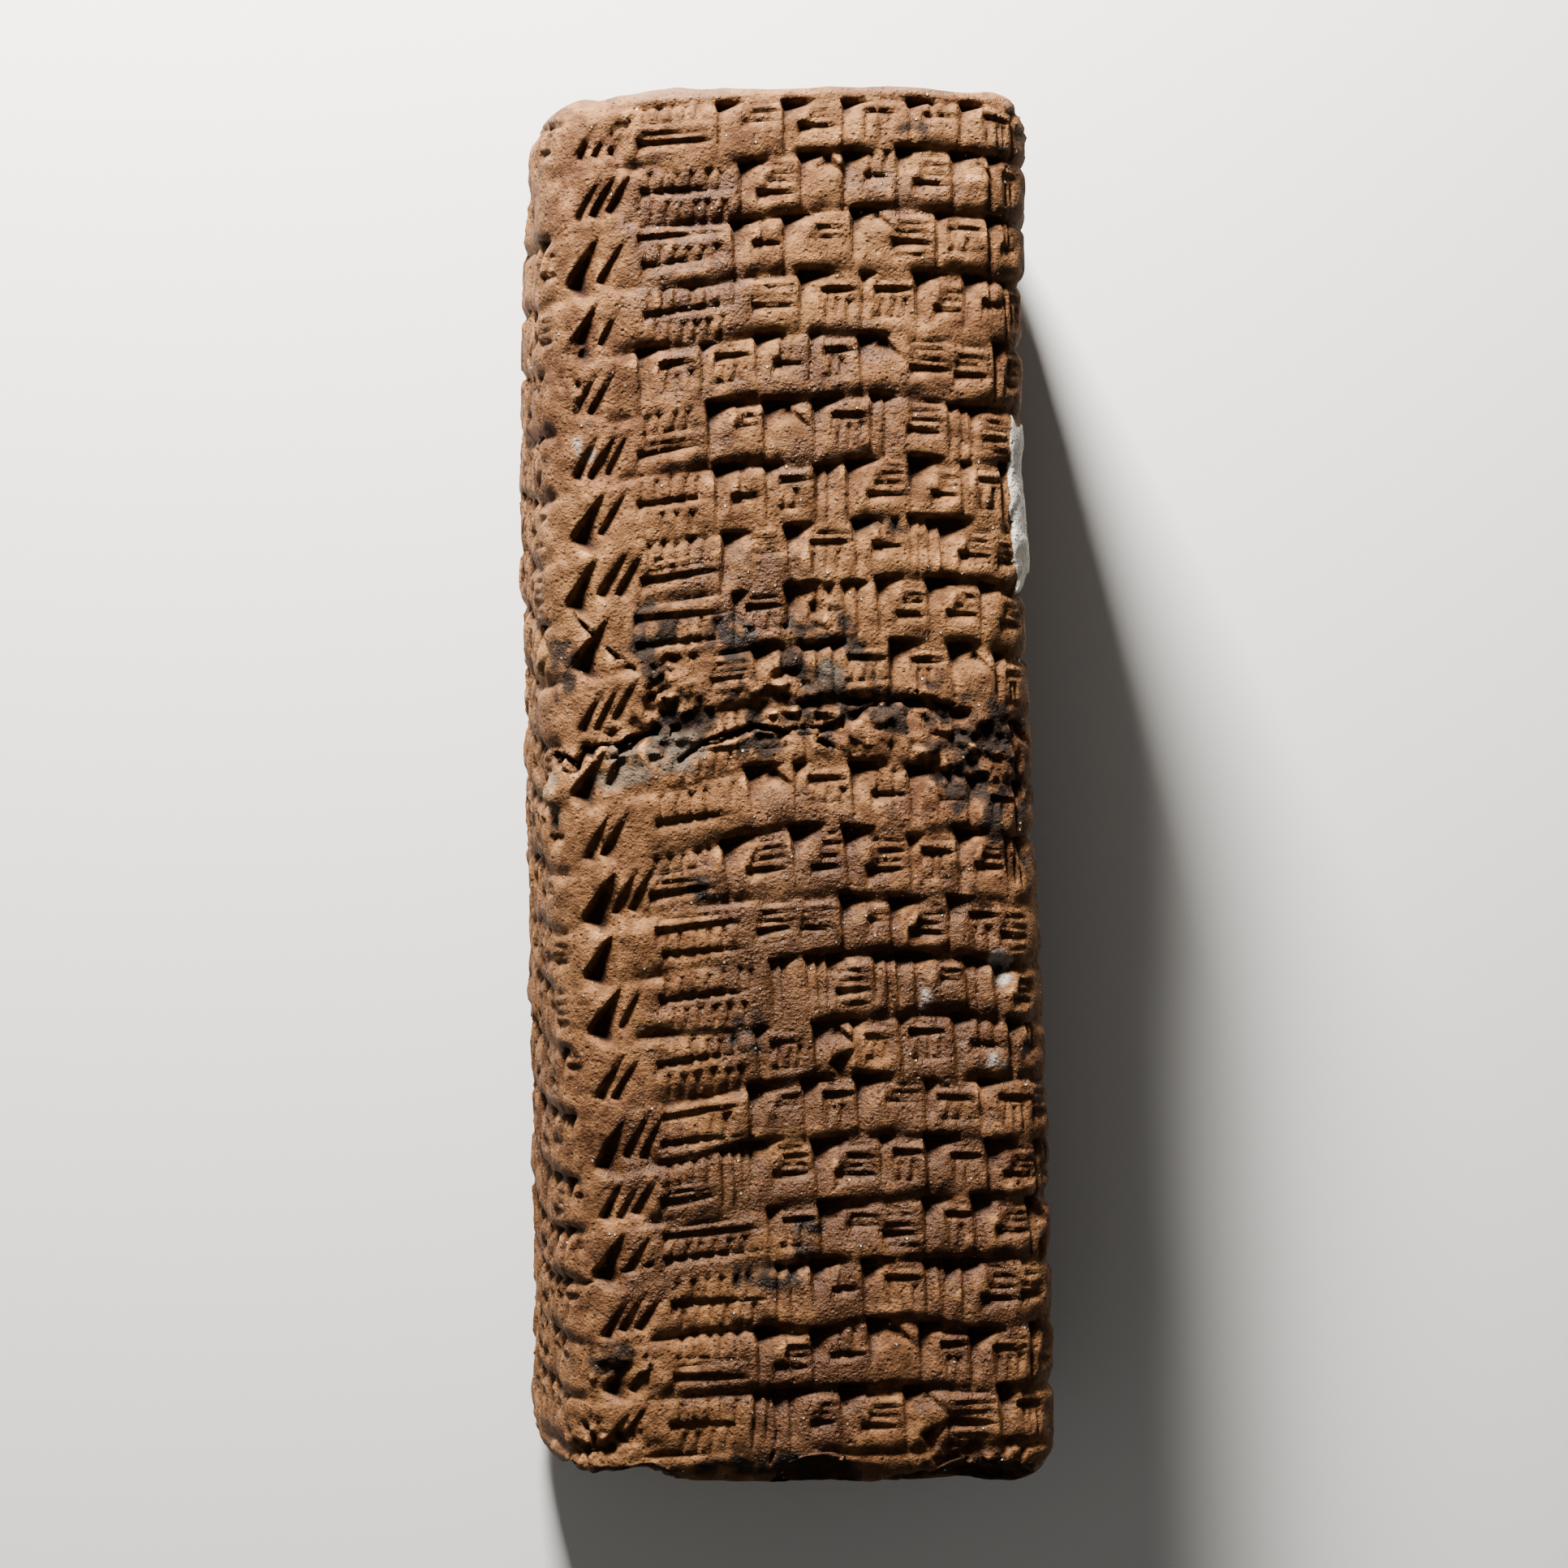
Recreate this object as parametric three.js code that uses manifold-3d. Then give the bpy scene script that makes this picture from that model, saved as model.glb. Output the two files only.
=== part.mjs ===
// A four-sided clay writing tablet, lying on its back.
// Millimetres. +Y runs to the head of the writing, +X to the reader's right, +Z out of the front face.
import * as THREE from "three";
import { mergeVertices } from "three/addons/utils/BufferGeometryUtils.js";
import Module from "manifold-3d";

const wasm = await Module();
wasm.setup();

// The block of clay, before its faces swell.
const WIDTH = 58.6;
const LENGTH = 172;
const THICKNESS = 54;
const EDGE_RADIUS = 5.8; // of the twelve edges, thumbed round while wet
const SIDE_CROWN = 2; // how far the left and right faces belly out
const FRONT_CROWN = 1.5; // how far the front bellies out; the back was pressed flat
const BOW = 1.2; // the sideways wander of the block along its length
const BOW_LENGTH = 200; // one full wave of it
const BOW_START = -12;
const FLARE = 0.004; // the share by which the foot is wider and the head narrower
const TWIST = 2.4; // how far front and back slide apart sideways at the head, and the other way at the foot
const EDGE_CLUSTER = 1.7; // how closely the facets crowd towards the round edges

// The ruled rows of writing, the same number on each face.
const ROWS = 22;
const ROW_PITCH = 7.5;
const ROW_SHIFT = 1.8; // the rows start close under the head and leave the foot bare
const RULING_DEPTH = 1;
const RULING_HALF = 1.1; // half the width of the furrow between two rows
const ROW_ARC = 0.003; // rows sink away from their crest by this times the distance squared
const ROW_CREST = 12; // where across the front a row stands highest
const STRAIGHT_END = 45; // the length over which the arc dies away at the foot
const HEAD_END = 36; // the length over which it weakens towards the head
const HEAD_LOSS = 0.4; // the share of it that is lost there

// Facets of the block, across, up and through.
const ACROSS = 8;
const LINES_PER_ROW = 3;
const END_LINES = 2;
const UP = ROWS * LINES_PER_ROW + 2 * END_LINES;
const THROUGH = 6;

const HALF = new THREE.Vector3(WIDTH, LENGTH, THICKNESS).divideScalar(2);

// The four written faces: which way each one looks, which way its rows read, and how fully it is written.
const FACES = [
  { out: [0, 0, 1], along: [1, 0, 0], half: HALF.x, deep: HALF.z, signs: 4, margin: true },
  { out: [1, 0, 0], along: [0, 0, -1], half: HALF.z, deep: HALF.x, signs: 2, margin: false },
  { out: [0, 0, -1], along: [-1, 0, 0], half: HALF.x, deep: HALF.z, signs: 0, margin: false },
  { out: [-1, 0, 0], along: [0, 0, 1], half: HALF.z, deep: HALF.x, signs: 2, margin: false },
].map((face) => ({
  ...face,
  out: new THREE.Vector3(...face.out),
  along: new THREE.Vector3(...face.along),
}));

// The three-cornered strokes that a reed's corner leaves.
const STROKE = { radius: 2.2, length: 7 };
const SLIM_STROKE = { radius: 1.7, length: 6 };
const MARGIN_STROKE = { radius: 2.8, length: 6.5 }; // the slanting stroke that opens a row of the front
const STROKE_SINK = 0.3; // how far the reed's axis stays above the clay
const STROKE_TILT = 0.1; // radians by which the tail rises out of the clay
const UPRIGHT = -Math.PI / 2; // head uppermost
const LEVEL = 0; // head to the reader's left
const SLANTING = 0.95; // head at the lower left
const TEXT_INSET = 5; // from the edge of a face to its writing
const GROUP_WIDTH = 8;
const MARGIN_WIDTH = 9; // the column of slanting strokes down the left of the front

const SEED = 7; // of the order in which the groups come

// The groups that strokes are pressed in: each stroke's head, right and up from a group's corner.
const GROUPS = [
  [
    { right: 0, up: 2.4, turn: UPRIGHT, size: STROKE },
    { right: 2.4, up: -1.6, turn: LEVEL, size: STROKE },
  ],
  [
    { right: 0, up: 1.5, turn: LEVEL, size: SLIM_STROKE },
    { right: 0.4, up: -1.3, turn: LEVEL, size: STROKE },
  ],
  [
    { right: 0.6, up: 2.4, turn: UPRIGHT, size: STROKE },
    { right: 4, up: 2.2, turn: UPRIGHT, size: SLIM_STROKE },
  ],
];
const MARGIN_GROUP = [
  { right: 1.5, up: -1.7, turn: SLANTING, size: MARGIN_STROKE },
  { right: 5, up: -1.6, turn: SLANTING, size: SLIM_STROKE },
];

// Losses, each an uneven scoop: where its middle lies and how far it reaches.
const SCOOPS = [
  { name: "foot, left corner", at: [-27, -92, 18], reach: [17, 9, 22] },
  { name: "foot, hollow in the front edge", at: [2, -85.5, 27], reach: [6, 4.5, 4.5] },
  { name: "foot, broken front edge", at: [12, -90, 26], reach: [17, 6, 9] },
  { name: "head, right corner", at: [32, 90, 24], reach: [8, 7, 12] },
  { name: "middle, flake at the left", at: [-21, 4, 28], reach: [6, 4, 3] },
];

// Three-cornered fissures that climb from the left edge and run on across the front.
const FISSURES = [
  { from: [-34, -1, 26.5], to: [-15, 7.5, 28.4], radius: 2 },
  { from: [-13, 5, 28.6], to: [17, 9, 28.6], radius: 1.8 },
];

// Repeatable numbers from 0 to 1, so that no two rows match.
function dice(seed) {
  let state = seed;
  return () => {
    state = (state * 1664525 + 1013904223) % 4294967296;
    return state / 4294967296;
  };
}

// A step that eases from 0 at start to 1 at end.
function ease(value, start, end) {
  const t = THREE.MathUtils.clamp((value - start) / (end - start), 0, 1);
  return t * t * (3 - 2 * t);
}

// Crowds evenly spaced facets towards both ends of their span.
function crowd(value, half) {
  const t = value / half;
  return Math.sign(t) * half * (1 - (1 - Math.abs(t)) ** EDGE_CLUSTER);
}

// The height of a line of facets: the furrow between two rows, a shoulder beside it, or the ends.
function lineHeight(line) {
  const inRows = line - END_LINES;
  const furrow = Math.round(inRows / LINES_PER_ROW);
  const side = inRows - furrow * LINES_PER_ROW;
  if (line === 0 || line === UP) return line === 0 ? -HALF.y : HALF.y;
  return (furrow - ROWS / 2) * ROW_PITCH + ROW_SHIFT + Math.sign(side) * RULING_HALF;
}

// True for the lines that run along the bottom of a furrow.
function isFurrow(line) {
  const inRows = line - END_LINES;
  return inRows >= 0 && inRows <= ROWS * LINES_PER_ROW && inRows % LINES_PER_ROW === 0;
}

// Rounds the edges of the block and sinks a point into its surface.
function roundEdges(point, sink) {
  const core = HALF.clone().subScalar(EDGE_RADIUS);
  const inner = point.clone().clamp(core.clone().negate(), core);
  const outward = point.clone().sub(inner).normalize();
  return inner.addScaledVector(outward, EDGE_RADIUS - sink);
}

// The hand-made shape of the whole block: bellied faces, a slight bow and twist, and arching rows.
function shape(point) {
  const { x, y, z } = point;
  const foot = ease(y, -HALF.y, STRAIGHT_END - HALF.y);
  const head = 1 - HEAD_LOSS * ease(y, HALF.y - HEAD_END, HALF.y);
  const arch = ROW_ARC * (x - ROW_CREST) ** 2 * ease(z, -HALF.z, HALF.z) * foot * head;
  const belly = z > 0 ? (FRONT_CROWN * z * (1 - (x / HALF.x) ** 2)) / HALF.z : 0;
  const side = (SIDE_CROWN * x * (1 - (z / HALF.z) ** 2)) / HALF.x;
  const bow = BOW * Math.sin((-2 * Math.PI * (y - BOW_START)) / BOW_LENGTH);
  const twist = (-TWIST * z * y) / (THICKNESS * HALF.y);
  const wide = 1 - (FLARE * y) / HALF.y;
  return point.set((x + side) * wide + bow + twist, y - arch, z + belly);
}

// The block with its rows, as one closed geometry.
function blockGeometry() {
  const block = new THREE.BoxGeometry(WIDTH, LENGTH, THICKNESS, ACROSS, UP, THROUGH);
  const places = block.getAttribute("position");
  const point = new THREE.Vector3();
  for (let i = 0; i < places.count; i += 1) {
    point.fromBufferAttribute(places, i);
    const line = Math.round((point.y / LENGTH + 0.5) * UP);
    const onSide = Math.max(Math.abs(point.x) / HALF.x, Math.abs(point.z) / HALF.z) > 0.999;
    const sink = onSide && isFurrow(line) ? RULING_DEPTH : 0;
    point.set(crowd(point.x, HALF.x), lineHeight(line), crowd(point.z, HALF.z));
    places.setXYZ(i, ...shape(roundEdges(point, sink)));
  }
  return block;
}

// A geometry as a solid that can be cut.
function solid(geometry) {
  const bare = geometry.index ? geometry.clone() : mergeVertices(geometry);
  bare.deleteAttribute("normal");
  bare.deleteAttribute("uv");
  const merged = mergeVertices(bare, 1e-4);
  return new wasm.Manifold(
    new wasm.Mesh({
      numProp: 3,
      vertProperties: merged.getAttribute("position").array,
      triVerts: new Uint32Array(merged.index.array),
    }),
  );
}

// A solid's faces as a geometry again.
function geometryOf(made) {
  const mesh = made.getMesh();
  return new THREE.BufferGeometry()
    .setAttribute("position", new THREE.BufferAttribute(new Float32Array(mesh.vertProperties), 3))
    .setIndex(new THREE.BufferAttribute(mesh.triVerts, 1));
}

// A point on the finished surface of a face, with the directions along, up and out there.
function placeOn(face, across, up) {
  const at = (u, v) => {
    const flat = face.along.clone().multiplyScalar(u).addScaledVector(face.out, face.deep);
    return shape(roundEdges(flat.setY(v), 0));
  };
  const step = 0.5;
  const middle = at(across, up);
  const along = at(across + step, up).sub(middle).normalize();
  const climb = at(across, up + step).sub(middle).normalize();
  const out = along.clone().cross(climb).normalize();
  return new THREE.Matrix4().makeBasis(along, out.clone().cross(along), out).setPosition(middle);
}

// The reed's corner: a three-sided point, one edge down, its head at the origin and its tail along +X.
function reedPoint(radius, length) {
  const reed = new THREE.ConeGeometry(radius, length, 3);
  reed.rotateY(Math.PI / 2);
  reed.rotateZ(-Math.PI / 2);
  reed.rotateX(Math.PI / 2);
  reed.translate(length / 2, 0, 0);
  reed.rotateY(-STROKE_TILT);
  return reed.translate(0, 0, STROKE_SINK);
}

// A group of strokes pressed into a face.
function pressGroup(group, face, across, up) {
  return group.map(({ right, up: rise, turn, size }) => {
    const reed = reedPoint(size.radius, size.length).rotateZ(turn);
    return solid(reed.applyMatrix4(placeOn(face, across + right, up + rise)));
  });
}

// The strokes of one row: groups from the margin to the far edge, in no script.
function rowStrokes(face, row, roll) {
  const middle = (ROWS / 2 - row - 0.5) * ROW_PITCH + ROW_SHIFT;
  const reach = face.half - TEXT_INSET;
  const first = face.margin ? -reach + MARGIN_WIDTH : -reach;
  const pitch = (reach - first) / face.signs;
  const made = face.margin ? pressGroup(MARGIN_GROUP, face, -reach, middle) : [];
  for (let sign = 0; sign < face.signs; sign += 1) {
    const group = GROUPS[Math.floor(roll() * GROUPS.length)];
    const drift = (pitch - GROUP_WIDTH) * roll();
    made.push(...pressGroup(group, face, first + pitch * sign + drift, middle));
  }
  return made;
}

// An uneven scoop of lost clay.
function scoop({ at, reach }) {
  const lump = new THREE.IcosahedronGeometry(1, 1);
  return solid(lump.scale(...reach).rotateZ(0.3).translate(...at));
}

// A three-cornered fissure between two points of the surface.
function fissure({ from, to, radius }) {
  const start = new THREE.Vector3(...from);
  const run = new THREE.Vector3(...to).sub(start);
  const crack = new THREE.CylinderGeometry(0.5 * radius, radius, run.length(), 3);
  crack.rotateY(Math.PI / 2);
  const turn = new THREE.Quaternion().setFromUnitVectors(new THREE.Vector3(0, 1, 0), run.clone().normalize());
  return solid(crack.applyQuaternion(turn).translate(...start.addScaledVector(run, 0.5)));
}

function tabletGeometry() {
  const rows = [...Array(ROWS).keys()];
  const roll = dice(SEED);
  const strokes = FACES.flatMap((face) => rows.flatMap((row) => rowStrokes(face, row, roll)));
  const losses = [...SCOOPS.map(scoop), ...FISSURES.map(fissure)];
  const cut = wasm.Manifold.union([...strokes, ...losses]);
  const made = geometryOf(solid(blockGeometry()).subtract(cut));
  made.computeBoundingBox();
  const { min, max } = made.boundingBox;
  made.translate(-(min.x + max.x) / 2, -(min.y + max.y) / 2, -min.z);
  made.computeVertexNormals();
  return made;
}

const clay = new THREE.MeshStandardMaterial({ color: 0xb58d6b, roughness: 0.9, metalness: 0 });

const tablet = new THREE.Mesh(tabletGeometry(), clay);
tablet.name = "clay_tablet";

const part = new THREE.Group();
part.add(tablet);

export default part;
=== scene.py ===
"""A thick four-sided clay writing tablet, lying on its back.

The clay is measured in millimetres, as a maker would, and the finished mesh is in metres.
A point on the four walls has two measures: u runs round the block in the reading direction,
with 0 at the middle of the front, and v runs up to the head of the writing.
"""

import logging
import math
from dataclasses import dataclass, field, replace
from enum import Enum
from functools import partial

import bmesh
import bpy
import numpy as np
from mathutils import Matrix, Vector


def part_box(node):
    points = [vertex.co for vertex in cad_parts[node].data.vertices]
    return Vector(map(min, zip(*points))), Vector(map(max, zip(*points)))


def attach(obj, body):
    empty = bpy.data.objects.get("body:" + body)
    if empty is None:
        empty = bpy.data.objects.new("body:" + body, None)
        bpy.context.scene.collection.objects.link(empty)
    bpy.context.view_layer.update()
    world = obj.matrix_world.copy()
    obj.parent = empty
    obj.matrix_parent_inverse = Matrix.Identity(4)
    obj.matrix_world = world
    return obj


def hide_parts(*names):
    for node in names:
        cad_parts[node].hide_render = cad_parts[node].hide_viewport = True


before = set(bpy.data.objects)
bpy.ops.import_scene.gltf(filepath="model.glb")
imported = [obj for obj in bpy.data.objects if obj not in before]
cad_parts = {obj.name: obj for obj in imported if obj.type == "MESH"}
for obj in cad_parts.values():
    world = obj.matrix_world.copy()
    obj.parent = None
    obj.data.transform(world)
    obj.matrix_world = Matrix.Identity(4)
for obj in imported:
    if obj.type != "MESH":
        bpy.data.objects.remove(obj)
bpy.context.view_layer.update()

log = logging.getLogger("tablet")

MM = 0.001
CAD_NODE = "clay_tablet"
BODY = "root"


def ease(value: np.ndarray, start: float, end: float) -> np.ndarray:
    """Steps smoothly from 0 to 1.

    Args:
        value: The numbers to step.
        start: Where the step begins.
        end: Where it is complete.

    Returns:
        The eased numbers.
    """
    t = np.clip((value - start) / (end - start), 0.0, 1.0)
    return t * t * (3.0 - 2.0 * t)


def linear(hex_colour: str) -> tuple[float, float, float, float]:
    """Turns an sRGB hex colour into the linear colour that a shader takes.

    Args:
        hex_colour: Six hex digits after a #.

    Returns:
        Red, green, blue and alpha.
    """
    parts = [int(hex_colour[i : i + 2], 16) / 255 for i in (1, 3, 5)]
    red, green, blue = (c / 12.92 if c <= 0.04045 else ((c + 0.055) / 1.055) ** 2.4 for c in parts)
    return red, green, blue, 1.0


class Lumps:
    """Repeatable soft lumps in space, from -1 to 1."""

    CELLS = 48

    def __init__(self, seed: int) -> None:
        """Rolls the lattice that the lumps hang on.

        Args:
            seed: Any whole number.
        """
        self.lattice = np.random.default_rng(seed).uniform(-1.0, 1.0, (self.CELLS,) * 3)

    def at(self, points: np.ndarray, size: float) -> np.ndarray:
        """Reads the lumps.

        Args:
            points: Places in millimetres, one a row.
            size: The width of a lump in millimetres.

        Returns:
            One number for each place.
        """
        scaled = points / size
        corner = np.floor(scaled).astype(int)
        blend = scaled - corner
        blend = blend * blend * (3.0 - 2.0 * blend)
        total = np.zeros(len(points))
        for step in np.ndindex(2, 2, 2):
            share = np.prod(np.where(np.array(step) == 1, blend, 1.0 - blend), axis=1)
            cell = (corner + np.array(step)) % self.CELLS
            total += share * self.lattice[cell[:, 0], cell[:, 1], cell[:, 2]]
        return total


@dataclass(frozen=True)
class Block:
    """The lump of clay: a round-edged bar with bellied faces, a bow, a twist and arching rows."""

    width: float = 58.6
    length: float = 172.0
    thickness: float = 54.0
    edge_radius: float = 5.8
    side_crown: float = 2.0
    front_crown: float = 1.5
    bow: float = 1.2
    bow_length: float = 200.0
    bow_start: float = -12.0
    flare: float = 0.004
    twist: float = 2.4
    row_arc: float = 0.003
    row_crest: float = 12.0
    straight_end: float = 45.0
    head_end: float = 36.0
    head_loss: float = 0.4

    @property
    def half(self) -> np.ndarray:
        """Half of the block's width, length and thickness."""
        return np.array([self.width, self.length, self.thickness]) / 2

    @property
    def girth(self) -> float:
        """The way round the four walls."""
        return 2 * (self.width + self.thickness)

    @property
    def girth_start(self) -> float:
        """The u of the edge between the back and the left face."""
        return -self.width / 2 - self.thickness

    def around(self, points: np.ndarray) -> np.ndarray:
        """Measures places on the square block's walls in the reading direction.

        Args:
            points: Places on the block before its edges are rounded.

        Returns:
            The u of each place.
        """
        x, _, z = points.T
        hx, _, hz = self.half
        right = hx + hz - z
        back = 2 * hx + 2 * hz - x
        left = -hx - hz + z
        u = np.where(z >= hz - 1e-4, x, np.where(x >= hx - 1e-4, right, left))
        return np.where(z <= -hz + 1e-4, back, u)

    def round_edges(self, points: np.ndarray) -> tuple[np.ndarray, np.ndarray]:
        """Rounds the edges of the square block.

        Args:
            points: Places on the square block.

        Returns:
            The rounded places, and the direction out of the clay at each.
        """
        core = self.half - self.edge_radius
        inner = np.clip(points, -core, core)
        outward = points - inner
        outward /= np.linalg.norm(outward, axis=1, keepdims=True)
        return inner + self.edge_radius * outward, outward

    def arch(self, x: np.ndarray, y: np.ndarray) -> np.ndarray:
        """How far the rows of the front have sunk below their crest.

        Args:
            x: Places across the front.
            y: Places up it.

        Returns:
            Millimetres towards the foot.
        """
        half = self.length / 2
        foot = ease(y, -half, self.straight_end - half)
        head = 1 - self.head_loss * ease(y, half - self.head_end, half)
        return self.row_arc * (x - self.row_crest) ** 2 * foot * head

    def shape(self, points: np.ndarray) -> np.ndarray:
        """Gives the round-edged block its hand-made shape.

        Args:
            points: Places on or near the round-edged block.

        Returns:
            Where they end up.
        """
        x, y, z = points.T
        hx, hy, hz = self.half
        arch = self.arch(x, y) * ease(z, -hz, hz)
        belly = np.where(z > 0, self.front_crown * z * (1 - (x / hx) ** 2) / hz, 0.0)
        side = self.side_crown * x * (1 - (z / hz) ** 2) / hx
        bow = self.bow * np.sin(-2 * math.pi * (y - self.bow_start) / self.bow_length)
        twist = -self.twist * z * y / (self.thickness * hy)
        wide = 1 - self.flare * y / hy
        return np.column_stack(((x + side) * wide + bow + twist, y - arch, z + belly))

    def from_page(self, x: float, y: float) -> tuple[float, float]:
        """Turns a place seen on the front into wall measures.

        Args:
            x: Millimetres right of the middle.
            y: Millimetres above it.

        Returns:
            The u and v of the place.
        """
        _, hy, hz = self.half
        bow = self.bow * math.sin(-2 * math.pi * (y - self.bow_start) / self.bow_length)
        u = x - bow + self.twist * hz * y / (self.thickness * hy)
        v = y + float(self.arch(np.array([u]), np.array([y]))[0])
        return u, v


@dataclass(frozen=True)
class Reed:
    """How one kind of press of the reed's corner bites the clay, in millimetres.

    The bite is depth deep and rises over the length head to a groove as deep as tail. Its steep
    side takes steep_share of its width, and belly rounds both sides.
    """

    width: float
    depth: float
    head: float
    tail: float
    steep_share: float
    belly: float = 1.0


class Kind(Enum):
    """The presses that the writing is made of."""

    FIN = Reed(width=4.4, depth=1.75, head=5.6, tail=0.8, steep_share=0.1, belly=1.1)
    SLIM_FIN = Reed(width=2.4, depth=1.3, head=4.8, tail=0.8, steep_share=0.16, belly=1.2)
    BAR = Reed(width=1.6, depth=0.62, head=3.0, tail=0.48, steep_share=0.35, belly=1.6)
    LEDGE = Reed(width=3.2, depth=1.1, head=4.0, tail=0.8, steep_share=0.3, belly=1.8)
    TICK = Reed(width=1.6, depth=0.8, head=6.0, tail=0.55, steep_share=0.4, belly=1.5)
    HOOK = Reed(width=3.4, depth=1.5, head=3.8, tail=0.5, steep_share=0.2, belly=1.3)
    PAN = Reed(width=5.4, depth=0.28, head=14.0, tail=0.1, steep_share=0.45, belly=0.7)
    GOUGE = Reed(width=5.4, depth=2.5, head=6.8, tail=0.6, steep_share=0.34)
    SLANT = Reed(width=3.0, depth=1.25, head=7.0, tail=0.6, steep_share=0.36, belly=1.3)


class Turn(Enum):
    """Which way a stroke's tail points from its head, in radians from the reading direction."""

    LEVEL = 0.0
    UPRIGHT = -math.pi / 2
    SLANTING = 1.02
    HOOKED = -0.75
    RISING = 0.6


@dataclass(frozen=True)
class Stroke:
    """One press in a group, or a run of them.

    Its head stands at start, and height above the row's furrow, in millimetres. A tail with a
    length of 0 runs to the group's end. A step makes a run that far apart, to the group's end.
    """

    kind: Kind
    turn: Turn
    start: float
    height: float
    length: float = 0.0
    step: float = 0.0
    odds: float = 1.0


@dataclass(frozen=True)
class Group:
    """Strokes pressed together, in a space of a width that varies, and how often it is used."""

    narrow: float
    wide: float
    odds: float
    strokes: tuple[Stroke, ...]


# The strokes of a group overlap as wedges do, but their number, order and starts belong to no sign.
LEVEL, UPRIGHT = Turn.LEVEL, Turn.UPRIGHT
BAR, LEDGE, TICK = Kind.BAR, Kind.LEDGE, Kind.TICK
FIN = Stroke(Kind.FIN, UPRIGHT, 0.0, 7.4, 7.6)
PAN = Stroke(Kind.PAN, LEVEL, 3.1, 5.2)
COMBS = (
    Group(9.5, 13.5, 0.5, (
        Stroke(TICK, UPRIGHT, 0.9, 6.9, 3.0, step=1.7),
        Stroke(LEDGE, LEVEL, 0.2, 4.2),
        Stroke(TICK, UPRIGHT, 1.4, 3.2, 2.4, step=1.7, odds=0.7),
    )),
    Group(8.5, 12.5, 0.3, (
        Stroke(BAR, LEVEL, 0.2, 6.9),
        Stroke(LEDGE, LEVEL, 0.0, 5.6),
        Stroke(TICK, UPRIGHT, 0.9, 4.7, 2.5, step=1.7),
        Stroke(LEDGE, LEVEL, 0.1, 2.5),
    )),
    Group(7.0, 10.0, 0.2, (
        Stroke(TICK, UPRIGHT, 0.8, 7.2, 2.8, step=1.6),
        Stroke(BAR, LEVEL, 0.1, 4.9),
        Stroke(BAR, LEVEL, 0.3, 3.8),
        Stroke(LEDGE, LEVEL, 0.0, 2.6),
    )),
)
GROUPS = (
    Group(6.2, 8.4, 0.28, (
        FIN,
        PAN,
        Stroke(BAR, LEVEL, 3.1, 6.9),
        Stroke(BAR, LEVEL, 4.0, 5.8),
        Stroke(BAR, LEVEL, 3.4, 4.7),
        Stroke(LEDGE, LEVEL, 2.5, 3.5, odds=0.6),
    )),
    Group(6.0, 8.2, 0.14, (
        FIN,
        PAN,
        Stroke(BAR, LEVEL, 2.9, 6.8),
        Stroke(LEDGE, LEVEL, 2.6, 5.5),
        Stroke(TICK, UPRIGHT, 3.1, 4.4, 2.6, step=1.4),
    )),
    Group(5.6, 7.4, 0.12, (
        FIN,
        PAN,
        Stroke(TICK, UPRIGHT, 3.3, 7.2, 2.8, step=1.5),
        Stroke(LEDGE, LEVEL, 2.4, 4.3),
    )),
    Group(3.6, 4.8, 0.12, (
        Stroke(Kind.SLIM_FIN, UPRIGHT, 0.0, 7.3, 7.2),
        Stroke(Kind.SLIM_FIN, UPRIGHT, 1.4, 7.2, 7.0),
        Stroke(Kind.FIN, UPRIGHT, 2.6, 7.3, 7.0, odds=0.5),
    )),
    Group(4.6, 6.2, 0.10, (
        FIN,
        Stroke(Kind.HOOK, Turn.HOOKED, 2.9, 6.9, 4.4),
        Stroke(Kind.HOOK, Turn.RISING, 2.4, 2.2, 3.8, odds=0.6),
    )),
    Group(5.6, 7.2, 0.12, (
        Stroke(Kind.SLIM_FIN, UPRIGHT, 0.0, 7.2, 7.0),
        Stroke(BAR, LEVEL, 1.9, 6.9),
        Stroke(LEDGE, LEVEL, 1.7, 5.7),
        Stroke(TICK, UPRIGHT, 2.4, 4.8, 2.2, step=1.4),
        Stroke(BAR, LEVEL, 1.6, 2.7),
    )),
    Group(4.4, 6.4, 0.12, (
        Stroke(BAR, LEVEL, 0.2, 7.0),
        Stroke(BAR, LEVEL, 0.4, 5.9),
        Stroke(BAR, LEVEL, 0.1, 4.8),
        Stroke(LEDGE, LEVEL, 0.1, 3.6),
        Stroke(BAR, LEVEL, 0.3, 2.2, odds=0.5),
    )),
)


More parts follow.
